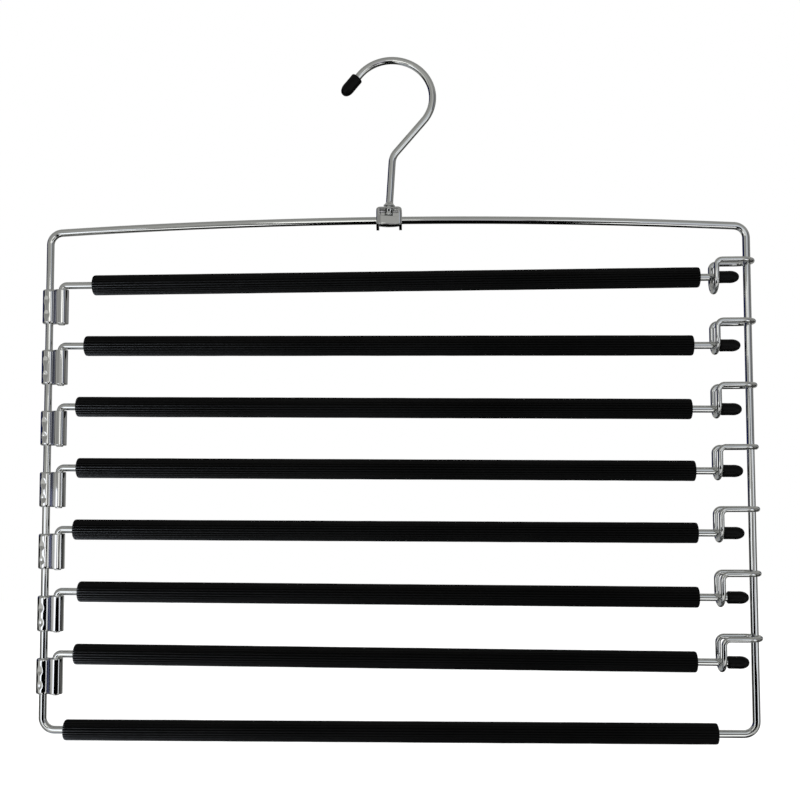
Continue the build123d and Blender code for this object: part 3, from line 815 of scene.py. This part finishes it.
# Floor
FLOOR_HALF, FLOOR_Z = 6, -0.9  # metres
floor_mesh = bpy.data.meshes.new("floor")
corners = [(x * FLOOR_HALF, y * FLOOR_HALF, FLOOR_Z) for x, y in ((-1, -1), (1, -1), (1, 1), (-1, 1))]
floor_mesh.from_pydata(corners, [], [(0, 1, 2, 3)])
floor = bpy.data.objects.new("floor", floor_mesh)
bpy.context.scene.collection.objects.link(floor)
floor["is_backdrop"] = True
floor.visible_glossy = False
pale = bpy.data.materials.new("floor_pale")
tree, shader = nodes_of(pale)
shader.inputs["Roughness"].default_value = 0.9
shader.inputs["Specular IOR Level"].default_value = 0.1
ramp(tree, noise_node(tree, scale=3.0, detail=2.0), [(0.3, 0.86), (0.7, 0.9)], shader.inputs["Base Color"])
floor_mesh.materials.append(pale)

# Tones of the room that only gloss sees. Those of its walls, above and below eye level, stand at azimuths
# in degrees, with 0 in front of the hanger and 90 at its right. Those of its ceiling stand at shares of the
# way from front to back, and those of its ground at shares of the way from left to right.
NAVY, LILAC = (0.006, 0.012, 0.07), (0.51, 0.49, 0.545)
UPPER_WALLS = [
    (-180, 0.34), (-158, 0.3), (-151, NAVY), (-92, NAVY), (-80, 0.01), (-70, 0.02), (-64, 0.42),
    (-52, 0.42), (-42, 0.28), (-18, 0.3), (-6, 0.42), (12, 0.4), (22, 0.44), (46, 0.42), (54, NAVY),
    (64, NAVY), (70, 0.24), (110, 0.2), (118, 0.28), (136, 0.3), (147, NAVY), (155, 0.1), (162, 0.34)]
LOWER_WALLS = [
    (-180, 0.34), (-150, 0.3), (-143, 0.02), (-110, 0.005), (-86, 0.01), (-80, 0.2), (-76, 0.5),
    (-58, 0.55), (-36, 0.62), (-22, 0.34), (-13, 0.2), (-8, 0.2), (-6.5, LILAC), (1, LILAC), (8, 0.3),
    (34, 0.44), (50, 0.7), (60, 0.5), (64, 0.01), (72, 0.01), (77, 0.26), (96, 0.18), (103, 0.02),
    (124, 0.04), (130, 0.3), (160, 0.34)]
CEILING = [(0.0, 0.36), (0.25, 0.3), (0.5, 0.26), (0.7, 0.34), (1.0, 0.3)]
GROUND = [
    (0.0, 0.36), (0.34, (0.3, 0.32, 0.35)), (0.38, 0.16), (0.42, 0.03), (0.46, 0.0), (0.6, 0.0), (0.8, 0.05)]
WARMTH = 0.96  # share of blue in the room's greys
SLANT = 0.09  # how far the walls' stripes lean, in turns


def studio():
    """White surroundings for camera and diffuse light, and a plain room in greys and navy for gloss."""
    world = bpy.data.worlds.new("studio")
    world.use_nodes = True
    bpy.context.scene.world = world
    tree = world.node_tree
    tree.nodes.clear()

    def calc(operation, a, b=None, c=None):
        node = tree.nodes.new("ShaderNodeMath")
        node.operation = operation
        for socket, value in zip(node.inputs, (a, b, c)):
            if value is None:
                continue
            if isinstance(value, (int, float)):
                socket.default_value = value
            else:
                tree.links.new(value, socket)
        return node.outputs[0]

    def blend(share, low, high):
        node = tree.nodes.new("ShaderNodeMix")
        node.data_type = "RGBA"
        tree.links.new(share, node.inputs["Factor"])
        for socket, value in zip((node.inputs[MIX_A], node.inputs[MIX_B]), (low, high)):
            if isinstance(value, tuple):
                socket.default_value = (*value, 1)
            else:
                tree.links.new(value, socket)
        return node.outputs[MIX_RESULT]

    def step(value, low, high):
        """Soft step from 0 to 1 between two values."""
        node = tree.nodes.new("ShaderNodeMapRange")
        node.interpolation_type = "SMOOTHSTEP"
        tree.links.new(value, node.inputs["Value"])
        node.inputs["From Min"].default_value = low
        node.inputs["From Max"].default_value = high
        return node.outputs[0]

    def bands(value, stops):
        warm = [(at, tone if isinstance(tone, tuple) else (tone, tone, tone * WARMTH)) for at, tone in stops]
        node = ramp_node(tree, warm)
        tree.links.new(value, node.inputs["Fac"])
        return node.outputs["Color"]

    def wall(stops):
        return bands(turns, [(degree / 360 + 0.5, tone) for degree, tone in stops])

    place = tree.nodes.new("ShaderNodeTexCoord")
    split = tree.nodes.new("ShaderNodeSeparateXYZ")
    tree.links.new(place.outputs["Generated"], split.inputs[0])
    x, y, z = split.outputs
    down = calc("MULTIPLY", z, -1.0)
    azimuth = calc("DEGREES", calc("ARCTAN2", x, calc("MULTIPLY", y, -1.0)))
    turns = calc("MULTIPLY_ADD", z, SLANT, calc("MULTIPLY_ADD", azimuth, 1 / 360, 0.5))
    ceiling = bands(calc("MULTIPLY_ADD", y, 0.5, 0.5), CEILING)
    ground = bands(calc("MULTIPLY_ADD", x, 0.5, 0.5), GROUND)
    # The ground starts lower in front of the hanger than behind it.
    behind = calc("MULTIPLY", step(y, -0.1, 0.15), step(down, 0.28, 0.42))
    gloss = blend(step(z, -0.05, 0.03), wall(LOWER_WALLS), wall(UPPER_WALLS))
    gloss = blend(step(z, 0.35, 0.5), gloss, ceiling)
    gloss = blend(calc("MAXIMUM", step(down, 0.72, 0.8), behind), gloss, ground)
    rays = tree.nodes.new("ShaderNodeLightPath")
    final = blend(rays.outputs["Is Glossy Ray"], (1.0, 1.0, 1.0), gloss)
    background = tree.nodes.new("ShaderNodeBackground")
    tree.links.new(final, background.inputs["Color"])
    background.inputs["Strength"].default_value = 1.0
    output = tree.nodes.new("ShaderNodeOutputWorld")
    tree.links.new(background.outputs[0], output.inputs["Surface"])


studio()


def screen(name, tone, corners, y=-400):
    """Flat screen in front, which only gloss sees. Corners are x and z in millimetres."""
    mesh = bpy.data.meshes.new(name)
    mesh.from_pydata([(x * MM, y * MM, z * MM) for x, z in corners], [], [tuple(range(len(corners)))])
    made = bpy.data.objects.new(name, mesh)
    bpy.context.scene.collection.objects.link(made)
    made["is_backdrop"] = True
    made.visible_camera = made.visible_diffuse = made.visible_shadow = made.visible_transmission = False
    material = bpy.data.materials.new(name)
    tree, shader = nodes_of(material)
    shader.inputs["Base Color"].default_value = (0, 0, 0, 1)
    shader.inputs["Specular IOR Level"].default_value = 0.0
    shader.inputs["Roughness"].default_value = 1.0
    shader.inputs["Emission Color"].default_value = (*tone, 1)
    shader.inputs["Emission Strength"].default_value = 1.0
    mesh.materials.append(material)


def oblong(x0, x1, z0, z1):
    return [(x0, z0), (x1, z0), (x1, z1), (x0, z1)]


# Each screen throws a pale or dark stripe on some of the wires and clips. Where two overlap, the nearer one
# shows.
screen("flag_middle", (0.0, 0.0, 0.0), [
    (-150, -1300), (165, -1300), (175, -560), (410, -440), (400, -395), (255, -340), (165, -305), (110, -300),
    (65, -258), (-35, -258), (-110, -300), (-245, -340), (-300, -395), (-300, -440), (-155, -560)])
screen("soft_left", (1.45, 1.5, 1.6), oblong(-470, -235, -480, -232), -405)
screen("soft_low_left", (1.5, 1.5, 1.5), oblong(-340, -160, -1300, -600), -405)
screen("soft_low_right", (1.2, 1.2, 1.2), oblong(180, 390, -1300, -480), -405)
screen("soft_strip", (1.5, 1.5, 1.45), oblong(-135, 4, -116, -50))
screen("soft_patch", (1.5, 1.5, 1.45), oblong(-118, -32, -305, -150), -396)
screen("soft_upper_right", (0.6, 0.64, 0.69), oblong(130, 330, -200, 40), -404)
screen("soft_short_strip", (1.2, 1.2, 1.2), oblong(108, 190, -150, -50))
screen("soft_right", (1.0, 1.02, 1.08), oblong(290, 380, -225, -140), -405)
screen("soft_lower_right", (1.0, 1.02, 1.08), oblong(290, 380, -385, -318), -395)
screen("soft_far_right", (1.25, 1.3, 1.4), oblong(540, 790, -500, -190))
screen("flag_camera", (0.06, 0.06, 0.06), oblong(92, 188, -290, -155), -395)

# A broad soft lamp overhead
sun = bpy.data.lights.new("overhead", "SUN")
sun.energy, sun.angle = 1.0, radians(60)
overhead = bpy.data.objects.new("overhead", sun)
overhead.rotation_euler = (radians(14), radians(8), 0)
overhead.visible_glossy = False
bpy.context.scene.collection.objects.link(overhead)

# A cool lamp low on the left, which lights only the foam
CARD_PLACE, CARD_AIM = Vector((-0.4, -0.08, -0.56)), Vector((-0.12, 0.0, -0.2))
card = bpy.data.lights.new("cool_card", "AREA")
card.shape, card.size, card.energy, card.color = "SQUARE", 0.2, 6.0, (0.82, 0.89, 1.0)
cool = bpy.data.objects.new("cool_card", card)
cool.location = CARD_PLACE
cool.rotation_euler = (CARD_AIM - cool.location).to_track_quat("-Z", "Y").to_euler()
bpy.context.scene.collection.objects.link(cool)
lit = bpy.data.collections.new("foam_pieces")
for made in bpy.data.objects:
    if made.name.endswith("_foam"):
        lit.objects.link(made)
cool.light_linking.receiver_collection = lit

# The camera, as fitted to the photograph: its focal length in pixels, its place from the middle of the
# rail in millimetres, and the ways that its picture's right and lower edges point
PICTURE_WIDTH, FOCAL_LENGTH = 800, 1193.09
CAMERA_PLACE = Vector((28.672, -630.17, -138.667))
CAMERA_RIGHT = Vector((0.99915293, 0.04108001, -0.00242056))
CAMERA_DOWN = Vector((-0.00516628, 0.0668644, -0.9977487))
camera_data = bpy.data.cameras.new("camera")
camera_data.sensor_width = 36.0
camera_data.lens = FOCAL_LENGTH / PICTURE_WIDTH * camera_data.sensor_width
camera_data.clip_start, camera_data.clip_end = 0.01, 50.0
camera = bpy.data.objects.new("camera", camera_data)
place = Matrix.Translation((Vector((MIDDLE_X, 0, RAIL_Z)) + CAMERA_PLACE) * MM)
backward = -CAMERA_RIGHT.cross(CAMERA_DOWN)
camera.matrix_world = place @ Matrix((CAMERA_RIGHT, -CAMERA_DOWN, backward)).transposed().to_4x4()
bpy.context.scene.collection.objects.link(camera)
bpy.context.scene.camera = camera
bpy.context.scene.view_settings.view_transform = "Standard"

low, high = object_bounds()
